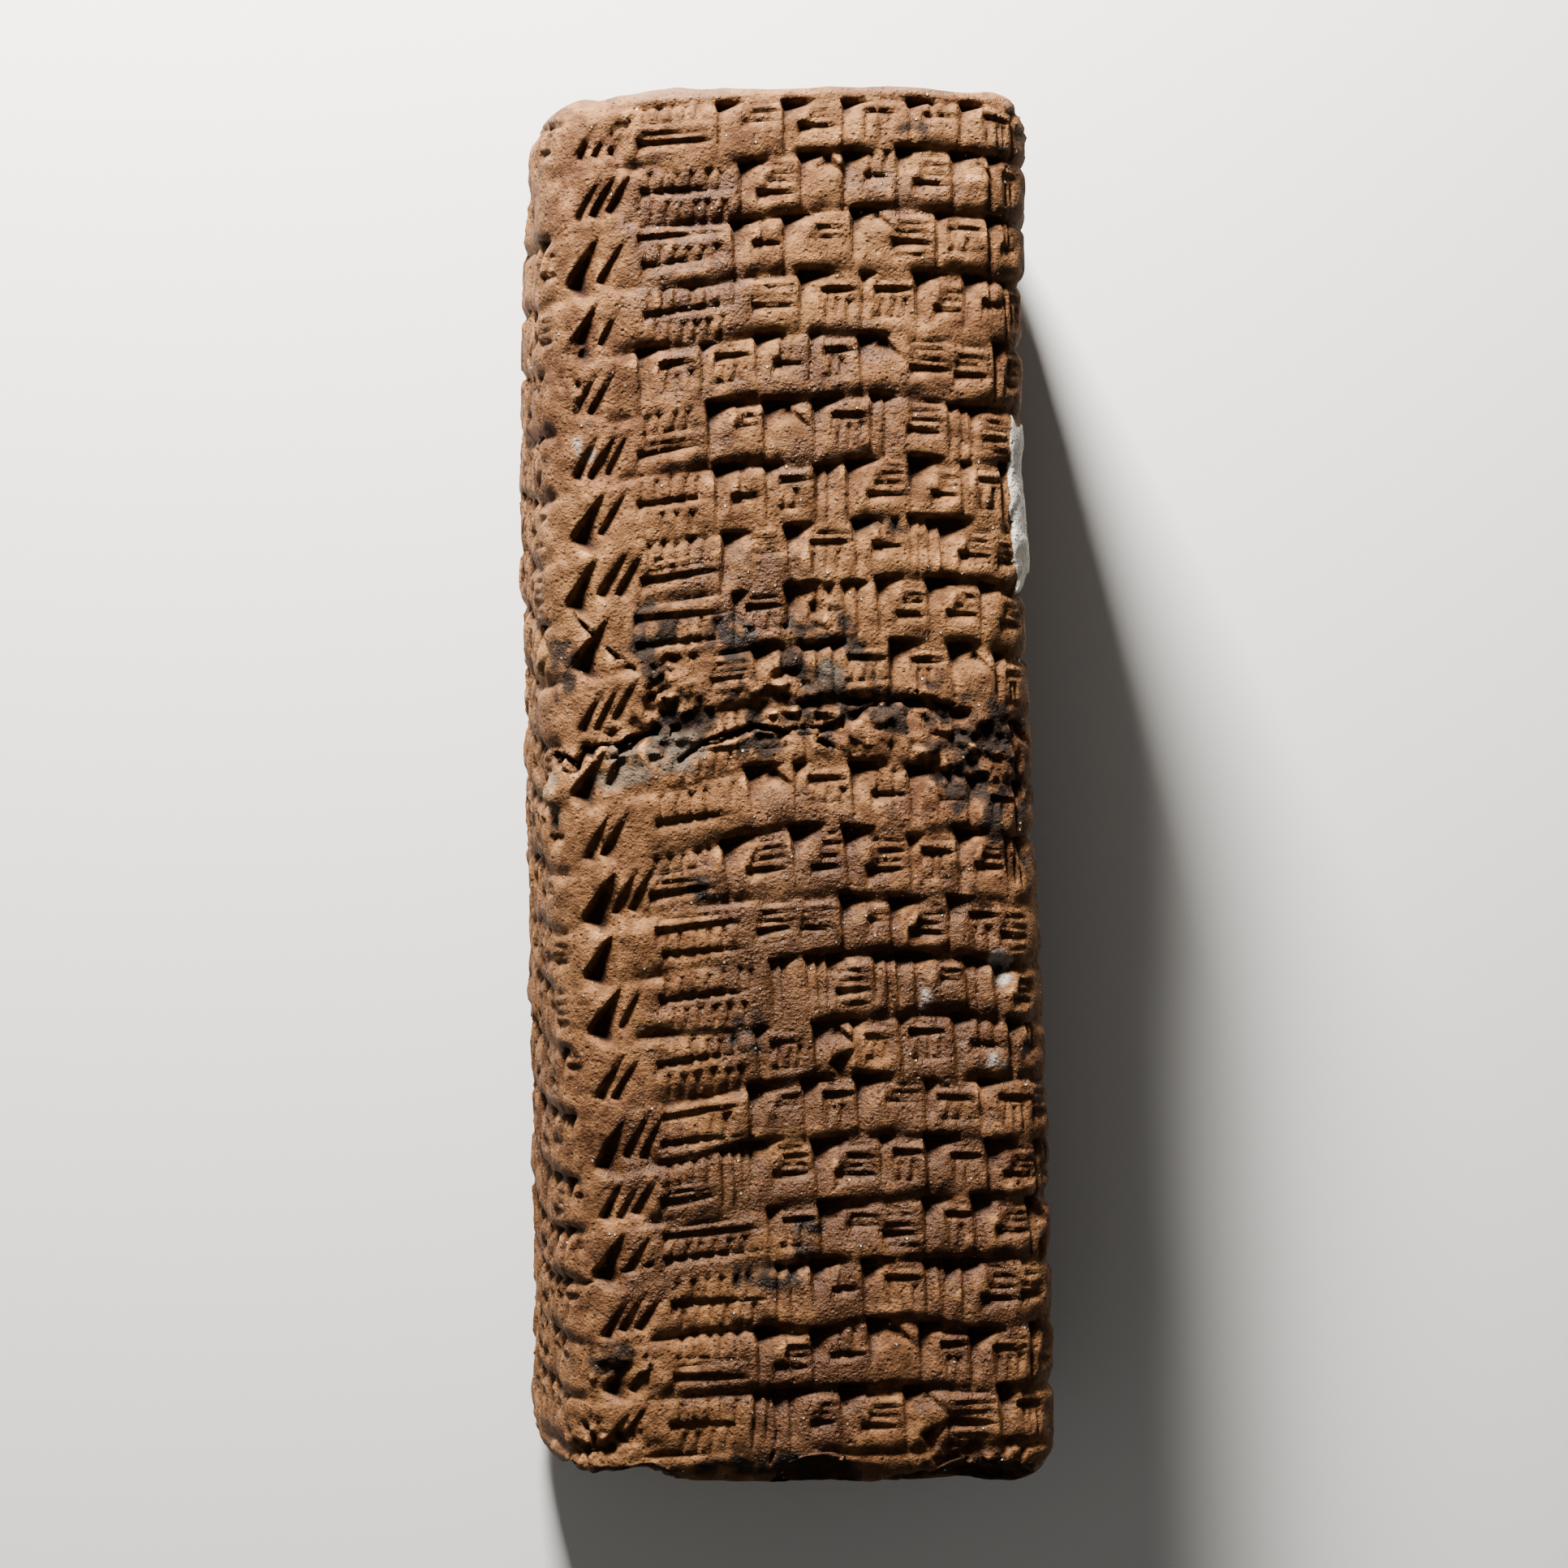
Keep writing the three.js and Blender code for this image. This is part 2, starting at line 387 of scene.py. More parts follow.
class Relief:
    """How far the clay is pressed in, on a fine raster of the unrolled walls."""

    FLIP = 0.35  # strokes whose turn has a lower cosine are steep on the other side
    BACK_SLOPE = 2.4  # of the clay behind a head
    TAIL_END = 4  # the power by which a tail fades
    CRACK_WANDER = 0.35  # as a share of its width

    def __init__(self, block: Block, pitch: float = 0.125) -> None:
        """Lays out a raster with nothing pressed in it.

        Args:
            block: The lump of clay.
            pitch: The raster's spacing.
        """
        self.block = block
        self.count_u = round(block.girth / pitch)
        self.pitch = block.girth / self.count_u
        self.count_v = round(block.length / pitch) + 1
        self.pitch_v = block.length / (self.count_v - 1)
        self.u = block.girth_start + self.pitch * np.arange(self.count_u)
        self.v = -block.length / 2 + self.pitch_v * np.arange(self.count_v)
        self.depth = np.zeros((self.count_u, self.count_v))

    def window(self, u: float, v: float, reach: float) -> tuple[slice, slice]:
        """Finds the part of the raster round a place.

        Args:
            u: The place's u.
            v: Its v.
            reach: How far the part goes each way.

        Returns:
            The rows and columns of the part.
        """
        low_u, high_u = ((u + side - self.u[0]) / self.pitch for side in (-reach, reach))
        low_v, high_v = ((v + side - self.v[0]) / self.pitch_v for side in (-reach, reach))
        return (
            slice(max(0, int(low_u)), max(0, int(high_u) + 2)),
            slice(max(0, int(low_v)), max(0, int(high_v) + 2)),
        )

    def press(
        self, reed: Reed, u: float, v: float, turn: float, length: float, raster: np.ndarray
    ) -> None:
        """Presses one stroke, whose head is three-cornered and whose tail is a thin groove.

        Args:
            reed: The kind of press.
            u: The head's u.
            v: The head's v.
            turn: The tail's direction in radians.
            length: From head to the tail's end.
            raster: The raster to press it in.
        """
        part = self.window(u, v, length + reed.width)
        du = self.u[part[0]][:, None] - u
        dv = self.v[part[1]][None, :] - v
        along = du * math.cos(turn) + dv * math.sin(turn)
        across = -du * math.sin(turn) + dv * math.cos(turn)
        if math.cos(turn) < self.FLIP:
            across = -across
        head = reed.depth * (1 - along / reed.head)
        tail = reed.tail * (1 - (along / length) ** self.TAIL_END)
        line = np.where(along < length, np.maximum(head, tail), -1.0).clip(max=reed.depth)
        reach = reed.width * np.where(across > 0, reed.steep_share, 1 - reed.steep_share)
        rise = 1 - (1 - (np.abs(across) / reach).clip(0, 1)) ** reed.belly
        back_wall = reed.depth + self.BACK_SLOPE * along
        bite = np.maximum(np.minimum(line - reed.depth * rise, back_wall), 0.0)
        raster[part] = np.maximum(raster[part], bite)

    def groove(
        self, path: list[tuple[float, float]], width: float, depth: float, rough: np.ndarray
    ) -> None:
        """Opens a crack along a path.

        Args:
            path: The u and v of its corners.
            width: Across its mouth.
            depth: At its deepest.
            rough: A raster that makes it wander and vary.
        """
        for (u0, v0), (u1, v1) in zip(path, path[1:]):
            run = math.hypot(u1 - u0, v1 - v0)
            part = self.window((u0 + u1) / 2, (v0 + v1) / 2, run / 2 + 3 * width + 1)
            du = self.u[part[0]][:, None] - u0
            dv = self.v[part[1]][None, :] - v0
            wander = rough[part]
            along = np.clip((du * (u1 - u0) + dv * (v1 - v0)) / run, 0.0, run)
            off = np.hypot(du - along * (u1 - u0) / run, dv - along * (v1 - v0) / run)
            side = np.abs(off + self.CRACK_WANDER * width * wander)
            bite = depth * (0.8 + 0.4 * wander) * (1 - side / (0.5 * width * (1 + 0.5 * wander)))
            self.depth[part] = np.maximum(self.depth[part], bite)

    def blurred(self, raster: np.ndarray, *parts: tuple[float, float]) -> np.ndarray:
        """Mixes soft copies of a raster.

        Args:
            raster: The raster to soften.
            parts: The spread in millimetres and the share of each copy.

        Returns:
            The mixed raster.
        """
        wave_u = np.fft.fftfreq(self.count_u, self.pitch)[:, None]
        wave_v = np.fft.rfftfreq(self.count_v, self.pitch_v)[None, :]
        wave = 2 * math.pi**2 * (wave_u**2 + wave_v**2)
        pass_band = sum(share * np.exp(-wave * spread**2) for spread, share in parts)
        return np.fft.irfft2(np.fft.rfft2(raster) * pass_band, s=raster.shape)

    def mottle(self, seed: int, size: float) -> np.ndarray:
        """Makes soft blotches of one size, on the same raster.

        Args:
            seed: Any whole number.
            size: The blotches' width.

        Returns:
            A raster whose usual spread is 1.
        """
        rolled = np.random.default_rng(seed).standard_normal(self.depth.shape)
        soft = self.blurred(rolled, (size / 2.5, 1.0))
        return soft / soft.std()

    def spot(self, x: float, y: float, rx: float, ry: float) -> np.ndarray:
        """Marks a soft-edged oval on the front.

        Args:
            x: Its middle, across the front.
            y: Its middle, up the front.
            rx: Its reach across.
            ry: Its reach up.

        Returns:
            A raster that is 1 at its middle and 0 well outside it.
        """
        u, v = self.block.from_page(x, y)
        away = ((self.u[:, None] - u) / rx) ** 2 + ((self.v[None, :] - v) / ry) ** 2
        return np.exp(-(away**1.5))

    def read(self, raster: np.ndarray, u: np.ndarray, v: np.ndarray) -> np.ndarray:
        """Reads a raster between its points.

        Args:
            raster: The numbers to read.
            u: Where, round the block.
            v: Where, along it.

        Returns:
            One number for each place.
        """
        at_u = (u - self.u[0]) / self.pitch
        at_v = np.clip((v - self.v[0]) / self.pitch_v, 0, self.count_v - 1.001)
        iu, iv = np.floor(at_u).astype(int), np.floor(at_v).astype(int)
        fu, fv = at_u - iu, at_v - iv
        iu0, iu1 = iu % self.count_u, (iu + 1) % self.count_u
        low = raster[iu0, iv] * (1 - fu) + raster[iu1, iv] * fu
        high = raster[iu0, iv + 1] * (1 - fu) + raster[iu1, iv + 1] * fu
        return low * (1 - fv) + high * fv


@dataclass(frozen=True)
class Wall:
    """One written face: its span, its margin's width, and how fully and how large it is written."""

    start: float
    end: float
    margin: float = 0.0
    fullness: float = 1.0
    gauge: float = 1.0


@dataclass
class Scribe:
    """Rules the rows and fills them with groups of strokes that belong to no script.

    The furrow between two rolls of clay rises over the width foot into the one above it and over
    brow into the one below. Wide shallow presses are kept apart in sunk.
    """

    block: Block
    relief: Relief
    rows: int = 22
    pitch: float = 7.5
    shift: float = 1.8
    furrow: float = 0.78
    foot: float = 2.5
    brow: float = 1.3
    slip: float = 0.42
    comb_odds: float = 0.92
    gouge_odds: float = 0.7
    least_room: float = 2.5
    margin_fade: float = 0.75
    seed: int = 5
    roll: np.random.Generator = field(init=False)
    waver: np.ndarray = field(init=False)
    sunk: np.ndarray = field(init=False)

    def __post_init__(self) -> None:
        """Starts the scribe's run of chances, and the slips of the hand."""
        self.roll = np.random.default_rng(self.seed)
        self.sunk = np.zeros_like(self.relief.depth)
        self.waver = self.slip * self.relief.mottle(self.seed + 1, 11.0)

    def walls(self) -> list[Wall]:
        """Lists the four written faces.

        Returns:
            The front, the right side, the left side and the back.
        """
        half, side = self.block.width / 2, self.block.thickness
        return [
            Wall(start=-half + 2.5, end=half + 3.0, margin=9.0),
            Wall(start=half + 5.0, end=half + side - 4, fullness=0.92, gauge=0.9),
            Wall(start=-half - side + 4, end=-half - 1.5, fullness=0.95, gauge=0.85),
            Wall(start=half + side + 5, end=half + side + self.block.width - 5, fullness=0.3),
        ]

    def rule(self) -> None:
        """Rolls the clay into rows, each round in its foot and its brow, with a furrow between."""
        relief = self.relief
        rise = relief.v[None, :] - self.shift + self.rows * self.pitch / 2 + self.waver
        inside = (rise > 0) & (rise < self.rows * self.pitch)
        above = np.mod(rise, self.pitch)
        foot = (1 - (above / self.foot).clip(0, 1)) ** 2
        brow = (1 - ((self.pitch - above) / self.brow).clip(0, 1)) ** 2
        away = np.minimum(np.abs(rise), np.abs(rise - self.rows * self.pitch))
        outside = (1 - (away / self.brow).clip(0, 1)) ** 2
        steps = self.furrow * np.where(inside, np.maximum(foot, brow), outside)
        strength = 0.85 + 0.38 * relief.mottle(self.seed + 2, 7.0).clip(-2, 1.2)
        half = self.block.width / 2
        front = relief.u[:, None]
        margin = (1 - ease(front, -half + 7.0, -half + 10.5)) * ease(front, -half - 2, -half + 2)
        relief.depth += self.sunk + steps * strength * (1 - self.margin_fade * margin)

    def write(self) -> None:
        """Fills every wall, row by row."""
        for wall in self.walls():
            for row in range(self.rows):
                self.write_row(wall, (self.rows / 2 - row - 1) * self.pitch + self.shift)

    def write_row(self, wall: Wall, base: float) -> None:
        """Fills one row.

        Args:
            wall: The face.
            base: The v of the furrow under the row.
        """
        u = wall.start
        combs = 0
        if wall.margin:
            self.open_row(u, base)
            u += wall.margin + self.roll.uniform(-0.6, 0.8)
            combs = int(self.roll.random() < self.comb_odds)
        else:
            u += self.roll.uniform(0, 3)
        while u < wall.end - self.least_room:
            if self.roll.random() < wall.fullness:
                group = self.pick(COMBS if combs > 0 else GROUPS)
                u += self.press_group(group, u, base, wall.gauge)
            else:
                u += self.roll.uniform(3, 6)
            combs -= 1

    def pick(self, groups: tuple[Group, ...]) -> Group:
        """Chooses a group by its odds.

        Args:
            groups: The choice.

        Returns:
            One of them.
        """
        odds = np.array([group.odds for group in groups])
        return groups[self.roll.choice(len(groups), p=odds / odds.sum())]

    def stray(self, amount: float = 0.15) -> float:
        """A small slip of the hand."""
        return float(self.roll.normal(0, amount))

    def press_group(self, group: Group, u: float, base: float, gauge: float) -> float:
        """Presses the strokes of a group.

        Args:
            group: Its strokes.
            u: Where it starts.
            base: The row's furrow.
            gauge: The size of the hand.

        Returns:
            The width that it took.
        """
        width = self.roll.uniform(group.narrow, group.wide) * gauge
        for stroke in group.strokes:
            if self.roll.random() > stroke.odds:
                continue
            count = max(1, int((width - stroke.start) / stroke.step)) if stroke.step else 1
            for step in range(count):
                place = u + gauge * stroke.start + step * stroke.step + self.stray()
                length = stroke.length * (1 + self.stray(0.06))
                length = length or u + width - place - abs(self.stray(0.2))
                height = base + stroke.height + self.stray(0.1)
                self.press(stroke.kind, place, height, stroke.turn, length, gauge)
        return width

    def press(
        self, kind: Kind, u: float, v: float, turn: Turn, length: float, gauge: float = 1.0
    ) -> None:
        """Presses one stroke with an unsteady hand.

        Args:
            kind: The kind of press.
            u: The head's u.
            v: The head's v on a straight row.
            turn: The tail's direction.
            length: From head to the tail's end.
            gauge: The size of the hand.
        """
        reed, force = kind.value, (1 + self.stray(0.09)) * gauge
        hand = replace(reed, width=reed.width * force, depth=reed.depth * force)
        slip = float(self.relief.read(self.waver, np.array([u]), np.array([v]))[0])
        raster = self.sunk if kind is Kind.PAN else self.relief.depth
        self.relief.press(hand, u, v - slip, turn.value + self.stray(0.035), max(length, 1.5), raster)

    def open_row(self, u: float, base: float) -> None:
        """Presses the slanting strokes that stand in the margin before a row.

        Args:
            u: The margin's start.
            base: The row's furrow.
        """
        slim, first = 2 + self.roll.integers(0, 2), 1.4
        if self.roll.random() < self.gouge_odds:
            self.press(Kind.GOUGE, u + 1.4 + self.stray(0.4), base + 1.4, Turn.SLANTING, 6.8)
            slim, first = self.roll.integers(0, 3), 4.5
        for step in range(slim):
            place = u + first + 2.0 * step
            self.press(Kind.SLANT, place, base + 1.6 + self.stray(0.3), Turn.SLANTING, 5.4)


@dataclass(frozen=True)
class Crack:
    """A fissure on the front: its corners in millimetres, its width and its depth."""

    path: tuple[tuple[float, float], ...]
    width: float
    depth: float


@dataclass(frozen=True)
class Scoop:
    """A lost piece of clay: the middle and reach of the uneven oval that is gone."""

    at: tuple[float, float, float]
    reach: tuple[float, float, float]


@dataclass(frozen=True)
class Stain:
    """A soft-edged oval patch on the front: middle, reach and strength."""

    x: float
    y: float
    rx: float
    ry: float
    strength: float = 1.0


CRACKS = (
    Crack(((-33, 2.4), (-26.9, 2.1), (-25.9, 4.0), (-22.1, 4.0), (-18.1, 6.1), (-14.7, 6.7)), 1.8, 3.2),
    Crack(((-27.8, 20.6), (-21.0, 14.3), (-18.1, 13.0), (-16.0, 9.7), (-14.7, 6.7)), 0.7, 2.0),
    Crack(((-14.3, 2.9), (-11.8, 4.8), (-5.4, 6.9), (-1.7, 6.3), (2.1, 6.5), (5.1, 7.1)), 1.2, 2.6),
    Crack(((6.3, 8.0), (8.4, 9.5), (11.8, 10.1), (13.9, 10.9), (16.9, 9.7), (19.5, 9.0)), 1.2, 2.6),
    Crack(((2.0, 5.6), (4.8, 3.9)), 0.9, 2.0),
    Crack(((-28.0, -60.6), (-24.0, -59.4), (-17.8, -57.9)), 0.5, 1.6),
    Crack(((-1.9, -66.0), (-0.6, -73.4), (-2.5, -77.6), (-3.5, -82.4)), 0.4, 1.4),
    Crack(((26.7, -48.9), (31.2, -46.4)), 0.5, 1.2),
)
# Where each kind of patch lies, as Stain takes it, after the size of the rags along its edges.
PATCHES = {
    "broken": (2.5, (
        (-20, 4.5, 9, 3.2), (-14.5, 9, 3.5, 6), (-1, 9.5, 6, 5, 0.9), (9, 7, 9, 3.2, 0.9),
        (22, 4, 9, 5, 0.8), (1.5, 19, 3.5, 5, 0.6), (-28, 50, 3, 6, 0.5), (-23, -70, 5, 3, 0.7),
        (-27, -80, 8, 3.5, 0.9), (-24.5, 79.6, 3.2, 2.6, 0.9), (22, -82, 8, 2.5, 0.8),
    )),
    "patina": (6.0, (
        # The first, broad patch darkens most of the lower half of the front, towards the foot.
        (4, -46, 25, 44, 0.95), (-14, 62, 9, 15, 0.6), (2, 46, 16, 12, 0.45), (-6, 24, 11, 9, 0.4),
        (12, 72, 10, 6, 0.35),
    )),
    "soot": (2.2, (
        (2, 9, 30, 6, 0.42), (24, 1, 10, 9, 0.5), (-10, 14, 10, 7, 0.35), (-17.5, 17, 3.0, 5.5, 0.8),
        (-8, 19, 3.5, 3.0, 0.5), (3, 14, 6, 8, 0.75), (10, 8.5, 9, 3, 0.9), (24, 5, 6, 8, 0.75),
        (30, 0, 3, 12, 0.6), (-15, 6.5, 5, 2.5, 0.9), (-30, 14, 3, 5, 0.7),
        (-12.2, -12.6, 1.4, 1.6, 0.8), (24, -3, 3, 5, 0.6), (-6, -30, 2.5, 3, 0.6),
        (1, -55, 2.5, 2.5, 0.8), (-4, -59.5, 5, 2, 0.6), (-23, -69, 4, 3, 0.6), (24, 77, 3, 4, 0.4),
        (14, 79, 2.5, 2, 0.7), (9, 31, 5, 3, 0.35), (-4, -84, 9, 3, 0.8),
    # The last soot patch, at the chipped foot, is painted shadow.
    )),
    "ash": (1.6, (
        (-17.5, 3.2, 6, 2.6, 1.0), (-22, 1.5, 3, 2.2, 0.8), (3, 12, 3.5, 4, 0.3),
        (-32.5, -2.5, 2, 4, 0.8),
    )),
    "chalk": (1.4, (
        (-26, 41, 1.8, 3.4, 0.4), (25, -22.5, 2.2, 2.4, 0.55), (24, -34, 1.6, 1.5, 0.5),
        (15, -26, 3.5, 2.6, 0.3), (21, -33, 2, 2, 0.4),
    )),
}
SCOOPS = (
    Scoop((-27, -92, 18), (17, 9, 22)),
    Scoop((2, -85.5, 27), (6, 4.5, 4.5)),
    Scoop((12, -90, 26), (17, 6, 9)),
    Scoop((32, 90, 24), (8, 7, 12)),
)


@dataclass
class Wear:
    """What time did to the tablet: cracks, rubbed and broken places, lost corners and stains."""

    block: Block
    seed: int = 31
    scoop_turn: float = 0.3
    fill_edge: float = 30.2
    fill_middle: tuple[float, float] = (30, 36.5)
    fill_reach: tuple[float, float] = (10.5, 13.0)
    scallop_start: float = 26
    scallop_width: float = 6.8

    def break_up(self, relief: Relief) -> np.ndarray:
        """Crushes the relief where the clay has broken, and opens the cracks.

        Args:
            relief: The raster to damage.

        Returns:
            A raster that is 1 in the cracks and 0 elsewhere.
        """
        broken = self.patches(relief, "broken")
        rubble = 0.3 * relief.mottle(self.seed, 4.5) + 0.2 * relief.mottle(self.seed + 1, 0.9)
        rubble -= 0.45 * np.abs(relief.mottle(self.seed + 3, 2.4)) - 0.3
        crushed = 0.45 * relief.blurred(relief.depth, (0.6, 1.0)) + 0.5 + rubble
        relief.depth = relief.depth * (1 - broken) + crushed * broken
        rough = relief.mottle(self.seed + 2, 1.3).clip(-1.5, 1.5)
        before = relief.depth.copy()
        for crack in CRACKS:
            path = [self.block.from_page(x, y) for x, y in crack.path]
            relief.groove(path, crack.width, crack.depth, rough)
        return ease(relief.depth - before, 0.1, 0.8)

    def patches(self, relief: Relief, kind: str) -> np.ndarray:
        """Marks one kind of patches, with ragged edges.

        Args:
            relief: The raster to match.
            kind: Their name in PATCHES.

        Returns:
            A raster from 0 to 1.
        """
        grain, places = PATCHES[kind]
        total = np.zeros(relief.depth.shape)
        for stain in (Stain(*place) for place in places):
            spot = relief.spot(stain.x, stain.y, stain.rx, stain.ry)
            total = np.maximum(total, stain.strength * spot)
        ragged = total * (1 + 0.4 * relief.mottle(self.seed + round(10 * grain), grain))
        ragged *= 1 + 0.3 * relief.mottle(self.seed + 40, 0.8)
        return ease(ragged, 0.08, 0.95)

    def plaster(self, relief: Relief) -> np.ndarray:
        """Marks the white fill, scalloped along the right edge and ragged down the right side.

        Args:
            relief: The raster to match.

        Returns:
            A raster from 0 to 1.
        """
        u, v = relief.u[:, None], relief.v[None, :]
        ragged = 2.2 * relief.mottle(self.seed + 8, 7.0) + 0.6 * relief.mottle(self.seed + 9, 1.8)
        scallop = 1.3 * np.abs(np.sin(math.pi * (v - self.scallop_start) / self.scallop_width))
        scallop = scallop + 0.35 * relief.mottle(self.seed + 7, 2.0)
        edge = self.fill_edge + 0.045 * np.abs(v - 34) ** 1.3 - scallop
        (mid_u, mid_v), (reach_u, reach_v) = self.fill_middle, self.fill_reach
        away = np.hypot((u - mid_u) / reach_u, (v - mid_v) / reach_v) + 0.08 * ragged
        return ease(u, edge - 0.25, edge + 0.25) * (1 - ease(away, 0.93, 1.0))

    def lose_corners(self, points: np.ndarray, lumps: Lumps) -> np.ndarray:
        """Pushes the surface back to the faces of the lost pieces.

        Args:
            points: Places on the shaped clay, before it is set down.
            lumps: What makes the faces uneven.

        Returns:
            The places after the losses.
        """
        uneven = 0.12 * lumps.at(points, 5.0) + 0.07 * lumps.at(points + 40, 2.0)
        uneven = uneven + 0.05 * lumps.at(points, 1.0)
        cos, sin = math.cos(self.scoop_turn), math.sin(self.scoop_turn)
        turn = np.array([[cos, -sin, 0], [sin, cos, 0], [0, 0, 1]])
        for scoop in SCOOPS:
            inside = (points - np.array(scoop.at)) @ turn
            distance = np.linalg.norm(inside / np.array(scoop.reach), axis=1)
            lost = distance < 1 + uneven
            push = np.where(lost, (1 + uneven) / np.maximum(distance, 0.05), 1.0)[:, None]
            points = np.where(lost[:, None], (inside * push) @ turn.T + np.array(scoop.at), points)
        return points


def add_node(
    tree: bpy.types.NodeTree,
    kind: str,
    settings: dict[str, object] | None = None,
    out: int = 0,
    **links: object,
) -> bpy.types.NodeSocket | None:
    """Adds one node to a material, with its settings and its links.

    Args:
        tree: The material's nodes.
        kind: The node's type, without its prefix.
        settings: Properties of the node itself.
        out: Which of its outputs to hand on.
        links: Plain values or other nodes' sockets, by input name, or by _ and input number.

    Returns:
        The chosen output, or None for a node that has none.
    """
    node = tree.nodes.new("ShaderNode" + kind)
    for name, value in (settings or {}).items():
        setattr(node, name, value)
    for name, value in links.items():
        socket = node.inputs[int(name[1:]) if name.startswith("_") else name.replace("_", " ")]
        if isinstance(value, bpy.types.NodeSocket):
            tree.links.new(value, socket)
        else:
            socket.default_value = value
    return node.outputs[out] if len(node.outputs) else None


SMOOTH = {"interpolation_type": "SMOOTHSTEP"}
TIMES = {"operation": "MULTIPLY"}
TIMES_PLUS = {"operation": "MULTIPLY_ADD"}
OVER = {"data_type": "RGBA", "clamp_factor": True}
OVER_OUT = 2
MARK_OUT = 2


@dataclass(frozen=True)
class FiredClay:
    """Sand-tempered river clay, pressed by hand and lightly fired: dull, open-pored and gritty.

    The mesh stores where it is hollow, for burial dirt with painted shade, or rubbed, for wear with a
    painted highlight on the crests, and where patina, soot, ash, chalk and plaster lie.
    """

    # Pale clay of the random mottle and of rubbed crests, where it also serves as a painted highlight.
    worn_and_highlight: str = "#cf9a6c"
    body: str = "#614226"
    warm: str = "#4d2f18"
    # Dark burial dirt, which also serves as painted shade in hollows, cracks and chips, and as the colour
    # of dark grit.
    dirt_and_shade: str = "#28150a"
    patina: str = "#3d220f"
    soot: str = "#17120e"
    ash: str = "#5a4f42"
    plaster: str = "#cfc8bd"
    sand: str = "#e6d6bd"
    roughness: float = 0.8
    handled_roughness: float = 0.42
    mica_roughness: float = 0.3
    ior: float = 1.5
    specular: float = 0.3

    def build(self) -> bpy.types.Material:
        """Makes the material.

        Returns:
            Fired clay, coloured by its own grain and by the marks stored on the mesh.
        """
        made = bpy.data.materials.new("fired_clay_hand_pressed")
        made.use_nodes = True
        made.node_tree.nodes.clear()
        add = partial(add_node, made.node_tree)
        place = add("TexCoord", out=3)

        # Hand-mixed clay: 22 mm patches of warmer and paler body, and a 2.6 mm mottle.
        patchy = add("TexNoise", Vector=place, Scale=1 / (22.0 * MM), Detail=3.0, Roughness=0.6)
        patchy = add("MapRange", SMOOTH, _0=patchy, _1=0.36, _2=0.66)
        mottle = add("TexNoise", Vector=place, Scale=1 / (2.6 * MM), Detail=4.0, Roughness=0.7)
        mottle = add("MapRange", SMOOTH, _0=mottle, _1=0.36, _2=0.74, _4=0.3)
        colour = add("Mix", OVER, OVER_OUT, _0=patchy, _6=linear(self.body), _7=linear(self.warm))
        colour = add("Mix", OVER, OVER_OUT, _0=mottle, _6=colour, _7=linear(self.worn_and_highlight))

        # Ridges are paler, partly rubbed wear and partly a painted highlight, and hollows and cracks are
        # darker, partly burial dirt and partly painted shade.
        ridge = add("Attribute", {"attribute_name": "ridge"}, MARK_OUT)
        ridge = add("MapRange", SMOOTH, _0=ridge, _1=0.22, _2=0.8, _4=0.95)
        colour = add("Mix", OVER, OVER_OUT, _0=ridge, _6=colour, _7=linear(self.worn_and_highlight))
        crumbs = add("TexNoise", Vector=place, Scale=1 / (1.1 * MM), Detail=4.0, Roughness=0.7)
        hollow = add("Attribute", {"attribute_name": "hollow"}, MARK_OUT)
        hollow = add("Math", TIMES_PLUS, _0=crumbs, _1=0.9, _2=hollow)
        hollow = add("MapRange", SMOOTH, _0=hollow, _1=0.5, _2=1.3, _4=0.8)
        colour = add("Mix", OVER, OVER_OUT, _0=hollow, _6=colour, _7=linear(self.dirt_and_shade))

        # Patina of handling in patches, a broad darkening over the lower half of the front, soot and ash
        # from a fire, a painted shadow at the chipped foot, and chalky dust, broken up by a 1.7 mm grain.
        veil = add("TexNoise", Vector=place, Scale=1 / (1.7 * MM), Detail=5.0, Roughness=0.75)
        veils = {
            "patina": (self.patina, 0.6),
            "soot": (self.soot, 0.85),
            "ash": (self.ash, 0.8),
            "chalk": (self.plaster, 0.4),
        }
        polish = None
        for name, (hue, most) in veils.items():
            spread = add("Attribute", {"attribute_name": name}, MARK_OUT)
            there = add("MapRange", SMOOTH, _0=spread, _1=0.02, _2=0.25)
            spread = add("Math", TIMES_PLUS, _0=veil, _1=0.5, _2=spread)
            spread = add("MapRange", SMOOTH, _0=spread, _1=0.2, _2=0.95, _4=most)
            spread = add("Math", TIMES, _0=spread, _1=there)
            colour = add("Mix", OVER, OVER_OUT, _0=spread, _6=colour, _7=linear(hue))
            polish = polish or spread  # the patina, which comes first

        # White plaster of a repair covers all of them.
        fill = add("Attribute", {"attribute_name": "plaster"}, MARK_OUT)
        fill = add("MapRange", SMOOTH, _0=fill, _1=0.3, _2=0.7, _4=0.95)
        colour = add("Mix", OVER, OVER_OUT, _0=fill, _6=colour, _7=linear(self.plaster))

        # Temper 0.2 to 0.4 mm across, one grain in each 0.8 mm: dark grit, a few pale grains of sand.
        grit = add("TexVoronoi", Vector=place, Scale=1 / (0.8 * MM))
        near = add("MapRange", SMOOTH, _0=grit, _1=0.14, _2=0.32, _3=1.0, _4=0.0)
        dark_grain = add("SeparateColor", Color=grit.node.outputs["Color"])
        pale_grain = dark_grain.node.outputs[1]
        dark_grain = add("MapRange", SMOOTH, _0=dark_grain, _1=0.62, _2=0.7, _4=0.55)
        dark_grain = add("Math", TIMES, _0=dark_grain, _1=near)
        colour = add("Mix", OVER, OVER_OUT, _0=dark_grain, _6=colour, _7=linear(self.dirt_and_shade))
        pale_grain = add("MapRange", SMOOTH, _0=pale_grain, _1=0.965, _2=0.98)
        pale_grain = add("Math", TIMES, _0=pale_grain, _1=near)
        speck = add("Math", TIMES, _0=pale_grain, _1=0.6)
        colour = add("Mix", OVER, OVER_OUT, _0=speck, _6=colour, _7=linear(self.sand))

